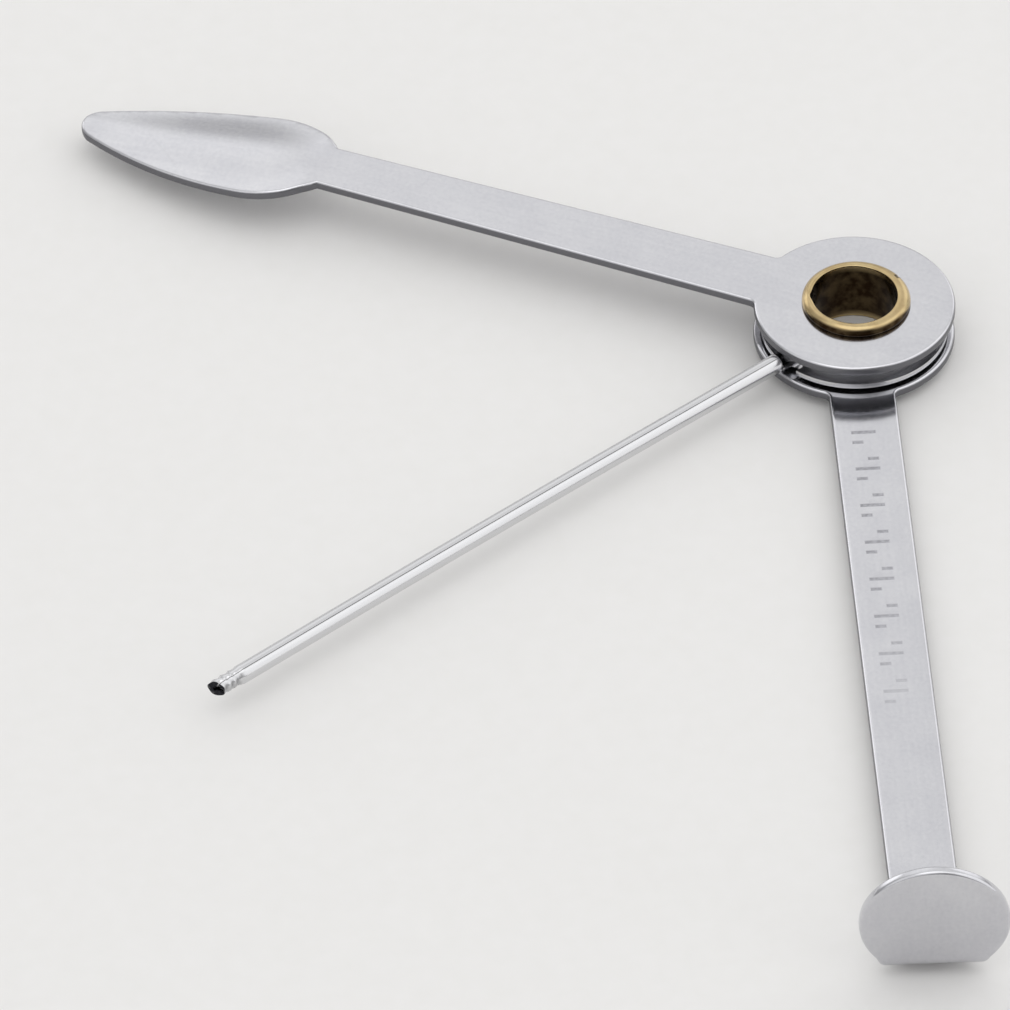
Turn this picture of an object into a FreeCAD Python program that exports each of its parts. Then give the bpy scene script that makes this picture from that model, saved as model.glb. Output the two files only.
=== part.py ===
import FreeCAD, Part
import math
import os
import Sketcher

# Folding pocket tool: three steel arms that turn on one hollow brass eyelet.
# The row frame has its origin at the middle of the eyelet, +Z up along it, and the tamper arm along +X.
# Each piece is drawn along its own +X with its underside at Z = 0, then turned and lifted by its Placement.

SIZES = (
    # Both flat arms and the eyelet that they turn on.
    ("hub_diameter", 15.0, "round end of the tamper arm and of the spoon arm"),
    ("arm_sheet", 0.8, "thickness of both flat arms"),
    ("corner_radius", 0.5, "rounding where a strip leaves its hub"),
    ("bore_diameter", 6.4, "open hole through the eyelet"),
    ("eyelet_wall", 0.35, "wall of the eyelet's barrel"),
    ("curl_reach", 0.5, "how far the curled lip stands out past the barrel"),
    ("curl_height", 0.75, "how far the curled lip stands proud of an arm"),
    ("curl_radius", 0.62, "outside radius of the curl, from the bore over the crest"),
    ("curl_foot", 0.06, "how far the lip's outer edge is drawn in where it meets the arm"),
    ("split_width", 0.25, "crack in the upper lip, opened by the setting tool"),
    ("split_angle", 120.6, "where that crack lies, round the eyelet"),
    ("pivot_play", 0.05, "gap between the barrel and each hole, all round"),
    ("face_play", 0.02, "gap between faces that turn on each other"),
    # Rings between the arms.
    ("washer_diameter", 11.0, "lower washer, outside"),
    ("washer_sheet", 0.25, "lower washer, thickness"),
    ("spacer_diameter", 11.0, "spacer ring, outside"),
    ("tube_clearance", 0.1, "gap between the pick's tube and the spoon arm above it"),
    # Tamper arm.
    ("tamper_width", 4.95, "strip width"),
    ("tamper_reach", 67.65, "hub axis to the outer face of the foot"),
    ("foot_diameter", 10.7, "round foot"),
    ("foot_rise", 3.5, "centre of the foot above the end of the bend"),
    ("bend_radius", 0.4, "inside radius of the bend at the foot"),
    ("mark_depth", 0.06, "stamped depth of the marks on the strip"),
    ("mark_stroke", 0.32, "width of one stamped mark"),
    ("long_mark", 1.8, "length of the middle mark of a group"),
    ("short_mark", 0.8, "length of the outer marks of a group"),
    ("mark_step", 1.08, "distance between marks within a group"),
    ("mark_pitch", 3.99, "distance from one group to the next"),
    ("mark_start", 10.42, "hub axis to the first group"),
    ("mark_offset", 0.27, "how far the row of marks lies to one side"),
    ("mark_groups", 8, "how many groups there are"),
    # Pick.
    ("eye_diameter", 14.0, "flat eye of the pick"),
    ("pick_sheet", 0.4, "thickness of the sheet that the pick is rolled from"),
    ("tube_diameter", 1.45, "outside of the rolled tube"),
    ("tube_lift", 0.03, "tube's underside above the underside of the eye"),
    ("tube_start", 6.7, "hub axis to the tube's inner end"),
    ("pick_reach", 61.9, "hub axis to the tube's outer end"),
    ("seam_gap", 0.1, "width of the open seam along the tube"),
    ("seam_angle", 20.0, "how far round from the top the seam lies"),
    ("mouth_length", 1.6, "length over which the seam opens out at the eye"),
    ("mouth_width", 0.9, "width of the seam's open mouth at the eye"),
    ("pick_angle", -53.1, "pick at rest, from the tamper arm"),
    # Spoon arm.
    ("spoon_width", 5.45, "strip width carried back to the hub axis"),
    ("neck_width", 4.3, "strip width at the bowl"),
    ("neck_reach", 42.3, "hub axis to the neck"),
    ("bowl_width", 9.05, "bowl at its widest"),
    ("bowl_shoulder", 5.5, "neck to the widest point"),
    ("shoulder_radius", 7.4, "rounding of the bowl's shoulders"),
    ("edge_radius", 29.0, "long curve from the widest point to the tip"),
    ("tip_radius", 1.0, "rounding of the tip"),
    ("tip_width", 1.8, "bowl width where the tip's rounding starts"),
    ("spoon_reach", 62.4, "hub axis to the tip"),
    ("bowl_margin", 0.7, "pressed sheet outside the outline, which is trimmed away"),
    ("rim_drop", 0.72, "how far the rim lies below the arm at the widest point"),
    ("rim_belly", 0.3, "how far the rim hangs below its straight line to the tip"),
    ("tip_drop", 1.53, "how far the tip lies below the arm"),
    ("tip_arch", 0.2, "height of the bowl's arch where the tip's rounding starts"),
    ("spoon_angle", -115.5, "spoon arm at rest, from the tamper arm"),
)

# How far the bowl's shape has formed at each share of the way from the neck to the widest point.
SHOULDER_STEPS = ((0, 0), (0.25, 0.156), (0.5, 0.5), (0.75, 0.844), (1, 1))
# Sections from the widest point to the tip.
BLADE_STEPS = 4
# An edge within this of its worked-out place is that edge.
EDGE_TOLERANCE = 0.05

document = FreeCAD.newDocument("folding_pocket_tool")
sheet = document.addObject("Spreadsheet::Sheet", "Sizes")
for row, (alias, value, meaning) in enumerate(SIZES, start=1):
    sheet.set(f"A{row}", meaning)
    sheet.set(f"B{row}", str(value))
    sheet.setAlias(f"B{row}", alias)
document.recompute()


def number(expression):
    """The value of an expression over the sheet's sizes."""
    return float(sheet.evalExpression(str(expression)))


# Levels and radii that several pieces share, as expressions over the sheet.
BARREL_RADIUS = "(Sizes.bore_diameter / 2 + Sizes.eyelet_wall)"
HOLE_RADIUS = f"({BARREL_RADIUS} + Sizes.pivot_play)"
HUB_RADIUS = "(Sizes.hub_diameter / 2)"
TUBE_RADIUS = "(Sizes.tube_diameter / 2)"
SPACER_HEIGHT = (
    "(Sizes.tube_lift + Sizes.tube_diameter + Sizes.tube_clearance"
    " - Sizes.pick_sheet - 2 * Sizes.face_play)"
)
STACK = (
    f"(2 * Sizes.arm_sheet + Sizes.washer_sheet + Sizes.pick_sheet + {SPACER_HEIGHT}"
    " + 6 * Sizes.face_play)"
)
TAMPER_LEVEL = f"(Sizes.face_play - {STACK} / 2)"
WASHER_LEVEL = f"({TAMPER_LEVEL} + Sizes.arm_sheet + Sizes.face_play)"
PICK_LEVEL = f"({WASHER_LEVEL} + Sizes.washer_sheet + Sizes.face_play)"
SPACER_LEVEL = f"({PICK_LEVEL} + Sizes.pick_sheet + Sizes.face_play)"
SPOON_LEVEL = f"({SPACER_LEVEL} + {SPACER_HEIGHT} + Sizes.face_play)"


# ---- Helpers for bodies and sketches ----


def new_body(name, level="0", angle="0"):
    """A sub-part's body, lifted to its level in the stack and turned about the eyelet."""
    body = document.addObject("PartDesign::Body", name)
    body.Label = name
    body.Placement = FreeCAD.Placement(
        FreeCAD.Vector(0, 0, 0), FreeCAD.Rotation(FreeCAD.Vector(0, 0, 1), 1)
    )
    body.setExpression("Placement.Base.z", level)
    body.setExpression("Placement.Rotation.Angle", angle)
    return body


def new_sketch(body, name, role, offset="0", turn_axis=(0, 0, 1), turn="0"):
    """A sketch on one of the body's own origin planes, moved along that plane's normal and turned."""
    sketch = body.newObject("Sketcher::SketchObject", name)
    plane = next(f for f in body.Origin.OriginFeatures if f.Role == role)
    sketch.AttachmentSupport = [(plane, "")]
    sketch.MapMode = "FlatFace"
    sketch.AttachmentOffset = FreeCAD.Placement(
        FreeCAD.Vector(0, 0, 0), FreeCAD.Rotation(FreeCAD.Vector(*turn_axis), 1)
    )
    sketch.setExpression("AttachmentOffset.Base.z", offset)
    sketch.setExpression("AttachmentOffset.Rotation.Angle", turn)
    return sketch


def bind(sketch, constraint, expression):
    """Adds a constraint whose value follows the sheet."""
    index = sketch.addConstraint(constraint)
    sketch.setExpression(f"Constraints[{index}]", expression)


def add_circle(sketch, radius, height="0"):
    """A circle about the sketch's origin, or at a height above it."""
    centre = FreeCAD.Vector(0, number(height), 0)
    circle = Part.Circle(centre, FreeCAD.Vector(0, 0, 1), number(radius))
    index = sketch.addGeometry(circle, False)
    bind(sketch, Sketcher.Constraint("Radius", index, number(radius)), radius)
    if height == "0":
        sketch.addConstraint(Sketcher.Constraint("Coincident", index, 3, -1, 1))
        return
    sketch.addConstraint(Sketcher.Constraint("PointOnObject", index, 3, -2))
    bind(sketch, Sketcher.Constraint("DistanceY", index, 3, number(height)), height)


def arc_between(start, end, radius, inward, major):
    """An arc from start to end, anticlockwise unless it bulges inward, the longer way if major."""
    chord = end - start
    half = chord.Length / 2
    left = FreeCAD.Vector(-chord.y, chord.x, 0).normalize()
    rise = math.sqrt(max(radius**2 - half**2, 0))
    centre = (start + end) * 0.5 + left * (rise if inward == major else -rise)
    first, last = (end, start) if inward else (start, end)
    angles = [math.atan2(p.y - centre.y, p.x - centre.x) for p in (first, last)]
    circle = Part.Circle(centre, FreeCAD.Vector(0, 0, 1), radius)
    return Part.ArcOfCircle(circle, angles[0], angles[1])


def add_outline(sketch, corners, arcs=None, inward=(), major=()):
    """A closed outline through corners, given anticlockwise as pairs of expressions.

    arcs maps a corner's place in the list to the radius of the arc that leaves it. The places in inward
    are arcs that bulge into the outline, and those in major are longer than a half circle.
    """
    arcs = arcs or {}
    points = [FreeCAD.Vector(number(x), number(y), 0) for x, y in corners]
    ends = []
    for place, start in enumerate(points):
        end = points[(place + 1) % len(points)]
        if place in arcs:
            radius = number(arcs[place])
            curve = arc_between(start, end, radius, place in inward, place in major)
        else:
            curve = Part.LineSegment(start, end)
        index = sketch.addGeometry(curve, False)
        ends.append((index, (2, 1) if place in inward else (1, 2)))
        if place in arcs:
            bind(sketch, Sketcher.Constraint("Radius", index, number(arcs[place])), arcs[place])
    for place, (x, y) in enumerate(corners):
        index, (first, _) = ends[place]
        before, (_, last) = ends[place - 1]
        sketch.addConstraint(Sketcher.Constraint("Coincident", before, last, index, first))
        bind(sketch, Sketcher.Constraint("DistanceX", index, first, number(x)), x)
        bind(sketch, Sketcher.Constraint("DistanceY", index, first, number(y)), y)


def pad(body, sketch, length, name, both_sides=False):
    """Pads a sketch along its normal, or half each way."""
    feature = body.newObject("PartDesign::Pad", name)
    feature.Profile = sketch
    feature.setExpression("Length", length)
    feature.SideType = "Symmetric" if both_sides else "One side"
    document.recompute()
    return feature


def pocket(body, sketch, name, length=None, upward=False):
    """Cuts a sketch through the whole body, or to a depth from the sketch, and proves that it cut."""
    before = body.Shape.Volume
    feature = body.newObject("PartDesign::Pocket", name)
    feature.Profile = sketch
    feature.Reversed = upward
    if length is None:
        feature.Type = "ThroughAll"
        feature.SideType = "Symmetric"
    else:
        feature.setExpression("Length", length)
    document.recompute()
    if not body.Shape.Volume < before:
        raise RuntimeError(f"{name} cuts nothing")
    return feature


def round_corners(body, half_width, slope, name):
    """Rounds the two upright edges where a strip leaves its hub.

    half_width is the strip's at the hub axis, and slope is how fast it changes along the strip.
    """
    names = []
    radius = number(HUB_RADIUS)
    spread = 1 + slope**2
    x = (math.sqrt(spread * radius**2 - half_width**2) - slope * half_width) / spread
    y = half_width + slope * x
    for place, edge in enumerate(body.Shape.Edges, start=1):
        low, high = (vertex.Point for vertex in (edge.Vertexes[0], edge.Vertexes[-1]))
        middle = (low + high) * 0.5
        upright = math.hypot(low.x - high.x, low.y - high.y) < EDGE_TOLERANCE < abs(low.z - high.z)
        local = body.Placement.inverse().multVec(middle)
        if upright and math.hypot(local.x - x, abs(local.y) - y) < EDGE_TOLERANCE:
            names.append(f"Edge{place}")
    if len(names) != 2:
        raise RuntimeError(f"{name} found {len(names)} corners")
    solid = body.Tip
    feature = body.newObject("PartDesign::Fillet", name)
    feature.Base = (solid, names)
    feature.setExpression("Radius", "Sizes.corner_radius")
    document.recompute()
    return feature


def bore_pivot(body):
    """The hole that turns on the eyelet's barrel."""
    hole = new_sketch(body, f"{body.Name}_hole_sketch", "XY_Plane")
    add_circle(hole, HOLE_RADIUS)
    pocket(body, hole, f"{body.Name}_hole")


def make_ring(name, level, diameter, height):
    """A flat ring on the eyelet's barrel."""
    body = new_body(name, level)
    disc = new_sketch(body, f"{name}_sketch", "XY_Plane")
    add_circle(disc, f"{diameter} / 2")
    pad(body, disc, height, f"{name}_disc")
    bore_pivot(body)
    return body


# ---- Tamper arm: one stamping with hub, marked strip and a round foot bent up ----


def make_tamper_arm():
    body = new_body("tamper_arm", TAMPER_LEVEL)

    hub = new_sketch(body, "tamper_hub_sketch", "XY_Plane")
    add_circle(hub, HUB_RADIUS)
    pad(body, hub, "Sizes.arm_sheet", "tamper_hub")

    # The strip widens along the foot's own circle, laid flat, and ends where the bend starts.
    half = "(Sizes.tamper_width / 2)"
    foot_radius = "(Sizes.foot_diameter / 2)"
    half_chord = f"sqrt({foot_radius}^2 - Sizes.foot_rise^2)"
    bend_start = "(Sizes.tamper_reach - Sizes.arm_sheet - Sizes.bend_radius)"
    flare_start = f"({bend_start} + Sizes.foot_rise - sqrt({foot_radius}^2 - {half}^2))"
    strip = new_sketch(body, "tamper_strip_sketch", "XY_Plane")
    corners = [
        ("0", f"-{half}"),
        (flare_start, f"-{half}"),
        (bend_start, f"-{half_chord}"),
        (bend_start, half_chord),
        (flare_start, half),
        ("0", half),
    ]
    add_outline(strip, corners, arcs={1: foot_radius, 3: foot_radius})
    pad(body, strip, "Sizes.arm_sheet", "tamper_strip")
    round_corners(body, number(half), 0, "tamper_corners")
    bore_pivot(body)

    # Quarter bend: a ring sector seen from the side, as wide as the foot's chord.
    outer_bend = "(Sizes.arm_sheet + Sizes.bend_radius)"
    bend = new_sketch(body, "tamper_bend_sketch", "XZ_Plane")
    corners = [
        (bend_start, "0"),
        (f"{bend_start} + {outer_bend}", outer_bend),
        (f"{bend_start} + Sizes.bend_radius", outer_bend),
        (bend_start, "Sizes.arm_sheet"),
    ]
    add_outline(bend, corners, arcs={0: outer_bend, 2: "Sizes.bend_radius"}, inward={2})
    pad(body, bend, f"2 * {half_chord}", "tamper_bend", both_sides=True)

    # Upright foot: the circle above the bend, drawn on the plane of its inner face.
    foot = new_sketch(
        body, "tamper_foot_sketch", "YZ_Plane", f"{bend_start} + Sizes.bend_radius"
    )
    corners = [(f"-{half_chord}", outer_bend), (half_chord, outer_bend)]
    add_outline(foot, corners, arcs={1: foot_radius}, major={1})
    pad(body, foot, "Sizes.arm_sheet", "tamper_foot")

    # One group of marks: short to one side, long in the middle, short to the other side.
    marks = new_sketch(body, "tamper_marks_sketch", "XY_Plane", "Sizes.arm_sheet")
    stroke = "(Sizes.mark_stroke / 2)"
    shift = "(Sizes.long_mark / 2 - Sizes.short_mark / 2)"
    for step, length, side in (
        ("0", "Sizes.short_mark", f"{shift} - Sizes.mark_offset"),
        ("Sizes.mark_step", "Sizes.long_mark", "-Sizes.mark_offset"),
        ("2 * Sizes.mark_step", "Sizes.short_mark", f"-{shift} - Sizes.mark_offset"),
    ):
        x = f"Sizes.mark_start + {step}"
        low, high = f"{side} - {length} / 2", f"{side} + {length} / 2"
        corners = [
            (f"{x} - {stroke}", low),
            (f"{x} + {stroke}", low),
            (f"{x} + {stroke}", high),
            (f"{x} - {stroke}", high),
        ]
        add_outline(marks, corners)
    group = pocket(body, marks, "tamper_marks", "Sizes.mark_depth")
    pattern = body.newObject("PartDesign::LinearPattern", "tamper_mark_groups")
    pattern.Originals = [group]
    pattern.Direction = (marks, ["H_Axis"])
    pattern.setExpression("Length", "Sizes.mark_pitch * (Sizes.mark_groups - 1)")
    pattern.setExpression("Occurrences", "Sizes.mark_groups")
    body.Tip = pattern
    document.recompute()
    return body


# ---- Pick: a flat eye, and a strip rolled into a tube with an open seam ----


def make_pick():
    body = new_body("pick", PICK_LEVEL, "Sizes.pick_angle")

    eye = new_sketch(body, "pick_eye_sketch", "XY_Plane")
    add_circle(eye, "Sizes.eye_diameter / 2")
    pad(body, eye, "Sizes.pick_sheet", "pick_eye")
    bore_pivot(body)

    axis_level = f"(Sizes.tube_lift + {TUBE_RADIUS})"
    tube_length = "(Sizes.pick_reach - Sizes.tube_start)"
    tube = new_sketch(body, "pick_tube_sketch", "YZ_Plane", "Sizes.tube_start")
    add_circle(tube, TUBE_RADIUS, axis_level)
    pad(body, tube, tube_length, "pick_tube")
    hollow = new_sketch(body, "pick_hollow_sketch", "YZ_Plane", "Sizes.tube_start")
    add_circle(hollow, f"{TUBE_RADIUS} - Sizes.pick_sheet", axis_level)
    pocket(body, hollow, "pick_hollow", tube_length, upward=True)

    # The seam is cut from the tube's axis out through its wall, turned from the top towards +Y.
    seam = new_sketch(
        body, "pick_seam_sketch", "XY_Plane", axis_level, (-1, 0, 0), "Sizes.seam_angle"
    )
    half_mouth, half_gap = "Sizes.mouth_width / 2", "Sizes.seam_gap / 2"
    mouth_end = "Sizes.tube_start + Sizes.mouth_length"
    corners = [
        ("Sizes.tube_start", f"-{half_mouth}"),
        (mouth_end, f"-{half_gap}"),
        ("Sizes.pick_reach", f"-{half_gap}"),
        ("Sizes.pick_reach", half_gap),
        (mouth_end, half_gap),
        ("Sizes.tube_start", half_mouth),
    ]
    add_outline(seam, corners)
    pocket(body, seam, "pick_seam", "Sizes.tube_diameter", upward=True)
    return body


# ---- Spoon arm: hub, tapered strip and a leaf-shaped bowl pressed hollow side down ----


def add_bowl_section(body, name, x, half_band, centre_level, sagitta):
    """A cross-section of the bowl's sheet at x: an arched band, or a flat one where sagitta is 0."""
    section = new_sketch(body, name, "YZ_Plane", x)
    if sagitta == "0":
        low = f"({centre_level} - Sizes.arm_sheet)"
        corners = [
            (f"-{half_band}", low),
            (half_band, low),
            (half_band, centre_level),
            (f"-{half_band}", centre_level),
        ]
        add_outline(section, corners)
        return section
    radius = f"(({half_band}^2 + {sagitta}^2) / (2 * {sagitta}))"
    inner = f"({radius} - Sizes.arm_sheet)"
    shrink = f"({inner} / {radius})"
    edge = f"({centre_level} - {sagitta})"
    inner_edge = f"({centre_level} - {radius} + ({radius} - {sagitta}) * {shrink})"
    corners = [
        (f"-{half_band} * {shrink}", inner_edge),
        (f"{half_band} * {shrink}", inner_edge),
        (half_band, edge),
        (f"-{half_band}", edge),
    ]
    add_outline(section, corners, arcs={0: inner, 2: radius}, inward={0})
    return section


def bowl_sections(body):
    """The bowl's cross-sections from the neck, where the sheet is flat, to just past the tip.

    Its crest carries the arm's top on to the widest point, and then falls away to the tip.
    """
    widest = "(Sizes.neck_reach + Sizes.bowl_shoulder)"
    run = f"(Sizes.spoon_reach - {widest})"
    band = "(Sizes.bowl_width / 2 + Sizes.bowl_margin)"
    sections = []
    for formed, share in SHOULDER_STEPS:
        sagitta = "0"
        if share:
            sagitta = f"(Sizes.rim_drop * {share} * (2 * {band} / Sizes.bowl_width)^2)"
        x = f"Sizes.neck_reach + Sizes.bowl_shoulder * {formed}"
        name = f"bowl_shoulder_section_{len(sections)}"
        sections.append(add_bowl_section(body, name, x, band, "Sizes.arm_sheet", sagitta))
    for step in range(1, BLADE_STEPS + 2):
        along = min(step / BLADE_STEPS, 1)
        bulge = f"{run}^2 / (2 * Sizes.edge_radius) * {along * (1 - along)}"
        half = f"(Sizes.bowl_width / 2 * {1 - along} + Sizes.tip_width / 2 * {along} + {bulge})"
        band = f"({half} + Sizes.bowl_margin)"
        hang = f"4 * Sizes.rim_belly * {along * (1 - along)}"
        drop = f"(Sizes.rim_drop * {1 - along} + Sizes.tip_drop * {along} + {hang})"
        fall = f"((Sizes.tip_drop - Sizes.tip_arch) * {along**2})"
        top = f"(Sizes.arm_sheet - {fall})"
        sagitta = f"(({drop} - {fall}) * ({band} / {half})^2)"
        x = f"{widest} + {run} * {along}"
        if step > BLADE_STEPS:
            x = f"{x} + Sizes.bowl_margin"
        name = f"bowl_blade_section_{step}"
        sections.append(add_bowl_section(body, name, x, band, top, sagitta))
    return sections


def make_spoon_arm():
    body = new_body("spoon_arm", SPOON_LEVEL, "Sizes.spoon_angle")

    sections = bowl_sections(body)
    bowl = body.newObject("PartDesign::AdditiveLoft", "spoon_bowl")
    bowl.Profile = sections[0]
    bowl.Sections = sections[1:]
    bowl.Ruled = False
    document.recompute()

    # Everything outside the leaf outline is cut away, from the neck out past the tip.
    trim = new_sketch(body, "spoon_trim_sketch", "XY_Plane")
    half_neck, half_bowl, half_tip = (
        f"Sizes.{width} / 2" for width in ("neck_width", "bowl_width", "tip_width")
    )
    widest = "Sizes.neck_reach + Sizes.bowl_shoulder"
    rounding = f"(Sizes.tip_radius - sqrt(Sizes.tip_radius^2 - ({half_tip})^2))"
    tip_start = f"Sizes.spoon_reach - {rounding}"
    outside = "Sizes.bowl_width"
    far = "Sizes.spoon_reach + Sizes.bowl_width"
    corners = [
        ("Sizes.neck_reach", f"-{outside}"),
        (far, f"-{outside}"),
        (far, outside),
        ("Sizes.neck_reach", outside),
        ("Sizes.neck_reach", half_neck),
        (widest, half_bowl),
        (tip_start, half_tip),
        (tip_start, f"-{half_tip}"),
        (widest, f"-{half_bowl}"),
        ("Sizes.neck_reach", f"-{half_neck}"),
    ]
    arcs = {4: "Sizes.shoulder_radius", 5: "Sizes.edge_radius", 6: "Sizes.tip_radius"}
    arcs.update({7: arcs[5], 8: arcs[4]})
    add_outline(trim, corners, arcs, inward=set(arcs))
    pocket(body, trim, "spoon_trim")

    strip = new_sketch(body, "spoon_strip_sketch", "XY_Plane")
    corners = [
        ("0", "-Sizes.spoon_width / 2"),
        ("Sizes.neck_reach", f"-{half_neck}"),
        ("Sizes.neck_reach", half_neck),
        ("0", "Sizes.spoon_width / 2"),
    ]
    add_outline(strip, corners)
    pad(body, strip, "Sizes.arm_sheet", "spoon_strip")
    hub = new_sketch(body, "spoon_hub_sketch", "XY_Plane")
    add_circle(hub, HUB_RADIUS)
    pad(body, hub, "Sizes.arm_sheet", "spoon_hub")
    slope = number("(Sizes.neck_width - Sizes.spoon_width) / 2 / Sizes.neck_reach")
    round_corners(body, number("Sizes.spoon_width / 2"), slope, "spoon_corners")
    bore_pivot(body)
    return body


# ---- Eyelet: a brass tube whose ends are rolled outwards over the outer two arms ----


def make_eyelet():
    body = new_body("brass_eyelet")
    bore = "(Sizes.bore_diameter / 2)"
    outer = f"({BARREL_RADIUS} + Sizes.curl_reach)"
    seat = f"({STACK} / 2)"
    # The curl's arc is centred level with its outermost point, and runs inwards over the crest.
    shoulder = f"({seat} + Sizes.curl_height - Sizes.curl_radius)"
    crest = f"({outer} - Sizes.curl_radius)"
    bore_end = f"({shoulder} + sqrt(Sizes.curl_radius^2 - ({crest} - {bore})^2))"
    profile = new_sketch(body, "eyelet_profile", "XZ_Plane")
    corners = [
        (bore, f"-{bore_end}"),
        (outer, f"-{shoulder}"),
        (f"{outer} - Sizes.curl_foot", f"-{seat}"),
        (BARREL_RADIUS, f"-{seat}"),
        (BARREL_RADIUS, seat),
        (f"{outer} - Sizes.curl_foot", seat),
        (outer, shoulder),
        (bore, bore_end),
    ]
    add_outline(profile, corners, arcs={0: "Sizes.curl_radius", 6: "Sizes.curl_radius"})
    revolution = body.newObject("PartDesign::Revolution", "eyelet_barrel")
    revolution.Profile = profile
    revolution.ReferenceAxis = (profile, ["V_Axis"])
    revolution.Angle = 360
    document.recompute()

    # The crack runs from the crest of the upper lip to its outer edge.
    split = new_sketch(
        body, "eyelet_split_sketch", "XY_Plane", seat, (0, 0, 1), "Sizes.split_angle"
    )
    half = "Sizes.split_width / 2"
    start = crest
    end = f"({outer} + Sizes.split_width)"
    add_outline(split, [(start, f"-{half}"), (end, f"-{half}"), (end, half), (start, half)])
    pocket(body, split, "eyelet_split", "2 * Sizes.curl_height", upward=True)
    return body


# ---- The whole tool ----

PARTS = [
    make_tamper_arm(),
    make_ring("lower_washer", WASHER_LEVEL, "Sizes.washer_diameter", "Sizes.washer_sheet"),
    make_pick(),
    make_ring("spacer_ring", SPACER_LEVEL, "Sizes.spacer_diameter", SPACER_HEIGHT),
    make_spoon_arm(),
    make_eyelet(),
]
document.recompute()

for item in document.Objects:
    if {"Invalid", "Error"} & set(item.State):
        raise RuntimeError(f"{item.Name} failed: {item.State}")
for part in PARTS:
    if part.Shape.isNull() or not part.Shape.isValid() or len(part.Shape.Solids) != 1:
        raise RuntimeError(f"{part.Label} is not one valid solid")

os.makedirs("parts", exist_ok=True)
for part in PARTS:
    part.Shape.exportStep(f"parts/{part.Label}.step")
    box = part.Shape.BoundBox
    print(
        f"{part.Label}: {part.Shape.Volume:.2f} mm3, X {box.XMin:.2f} to {box.XMax:.2f},"
        f" Y {box.YMin:.2f} to {box.YMax:.2f}, Z {box.ZMin:.2f} to {box.ZMax:.2f}"
    )
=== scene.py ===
import math

import bmesh
import bpy
from mathutils import Matrix, Vector


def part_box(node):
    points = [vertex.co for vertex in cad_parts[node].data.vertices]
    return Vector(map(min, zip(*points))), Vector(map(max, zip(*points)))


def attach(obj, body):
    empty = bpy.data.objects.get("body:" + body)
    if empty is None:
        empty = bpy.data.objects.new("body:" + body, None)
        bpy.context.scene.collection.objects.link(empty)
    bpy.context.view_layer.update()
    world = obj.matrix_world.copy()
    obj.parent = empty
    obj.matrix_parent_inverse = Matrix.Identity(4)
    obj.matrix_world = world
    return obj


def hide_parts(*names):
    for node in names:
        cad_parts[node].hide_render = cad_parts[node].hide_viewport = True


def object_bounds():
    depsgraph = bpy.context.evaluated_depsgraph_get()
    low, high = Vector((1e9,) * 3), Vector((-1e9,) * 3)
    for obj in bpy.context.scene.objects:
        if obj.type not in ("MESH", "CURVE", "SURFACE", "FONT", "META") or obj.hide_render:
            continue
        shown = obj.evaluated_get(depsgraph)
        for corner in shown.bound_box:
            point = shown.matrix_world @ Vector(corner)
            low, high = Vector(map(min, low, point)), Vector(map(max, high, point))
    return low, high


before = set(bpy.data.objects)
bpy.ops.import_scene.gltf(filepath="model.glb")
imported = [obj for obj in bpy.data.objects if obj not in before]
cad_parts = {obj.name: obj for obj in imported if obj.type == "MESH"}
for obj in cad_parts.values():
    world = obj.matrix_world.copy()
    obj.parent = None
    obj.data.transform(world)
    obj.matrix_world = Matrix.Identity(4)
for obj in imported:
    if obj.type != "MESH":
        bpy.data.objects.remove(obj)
cad_low, cad_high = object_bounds()

# ---- Tamper arm ----
# The lowest arm: 0.8 mm stainless sheet, blanked, stamped with groups of three dashes and tumbled until
# its edges are round. The round foot at its end is folded up square, and never comes out quite true.

MM = 0.001
SHEET = 0.8 * MM
HUB_SIDES = 120
MERGE = 0.001 * MM

arm_low, arm_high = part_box("tamper_arm")
bore_radius = 3.2 * MM
eyelet_wall = 0.35 * MM
arm_play = 0.05 * MM
hub_radius = -arm_low.x
hole_radius = bore_radius + eyelet_wall + arm_play
edge_rounding = 0.25 * MM
corner_rounding = 0.35 * MM

strip_half = 4.95 / 2 * MM
foot_radius = 10.7 / 2 * MM
foot_rise = 3.5 * MM
FOOT_STEPS = 56
fold_radius = 0.4 * MM
fold_angle = math.radians(87)
FOLD_STEPS = 10
lean_room = 0.15 * MM
fold_start = arm_high.x - fold_radius - SHEET - lean_room
fold_length = fold_radius * fold_angle
foot_skew = math.radians(-2)

mark_stroke = 0.42 * MM
mark_start = 10.42 * MM
mark_step = 1.08 * MM
mark_pitch = 3.99 * MM
mark_groups = 8
mark_offset = -0.27 * MM
mark_lengths = {0: 0.9 * MM, 1: 1.9 * MM, 2: 0.9 * MM}
mark_shifts = {0: 0.5 * MM, 1: 0, 2: -0.5 * MM}
mark_depth = 0.012 * MM
mark_side = 0.09 * MM
mark_fading = 0.55


def vertices_of(geometry):
    return [item for item in geometry if isinstance(item, bmesh.types.BMVert)]


def whole(mesh):
    return mesh.verts[:] + mesh.edges[:] + mesh.faces[:]


def draw(mesh, corners, start=None):
    """A chain of flat edges through corners, from a vertex if one is given; returns its last vertex."""
    last = start
    for x, y in corners:
        vertex = mesh.verts.new((x, y, 0))
        if last:
            mesh.edges.new((last, vertex))
        last = vertex
    return last


def draw_arc(mesh, start, centre, angle, steps):
    """Carries a flat outline on along an arc about a point; returns its last vertex."""
    swept = bmesh.ops.spin(
        mesh, geom=[start], cent=(*centre, 0), axis=(0, 0, 1), angle=angle, steps=steps
    )
    return vertices_of(swept["geom_last"])[0]


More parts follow.
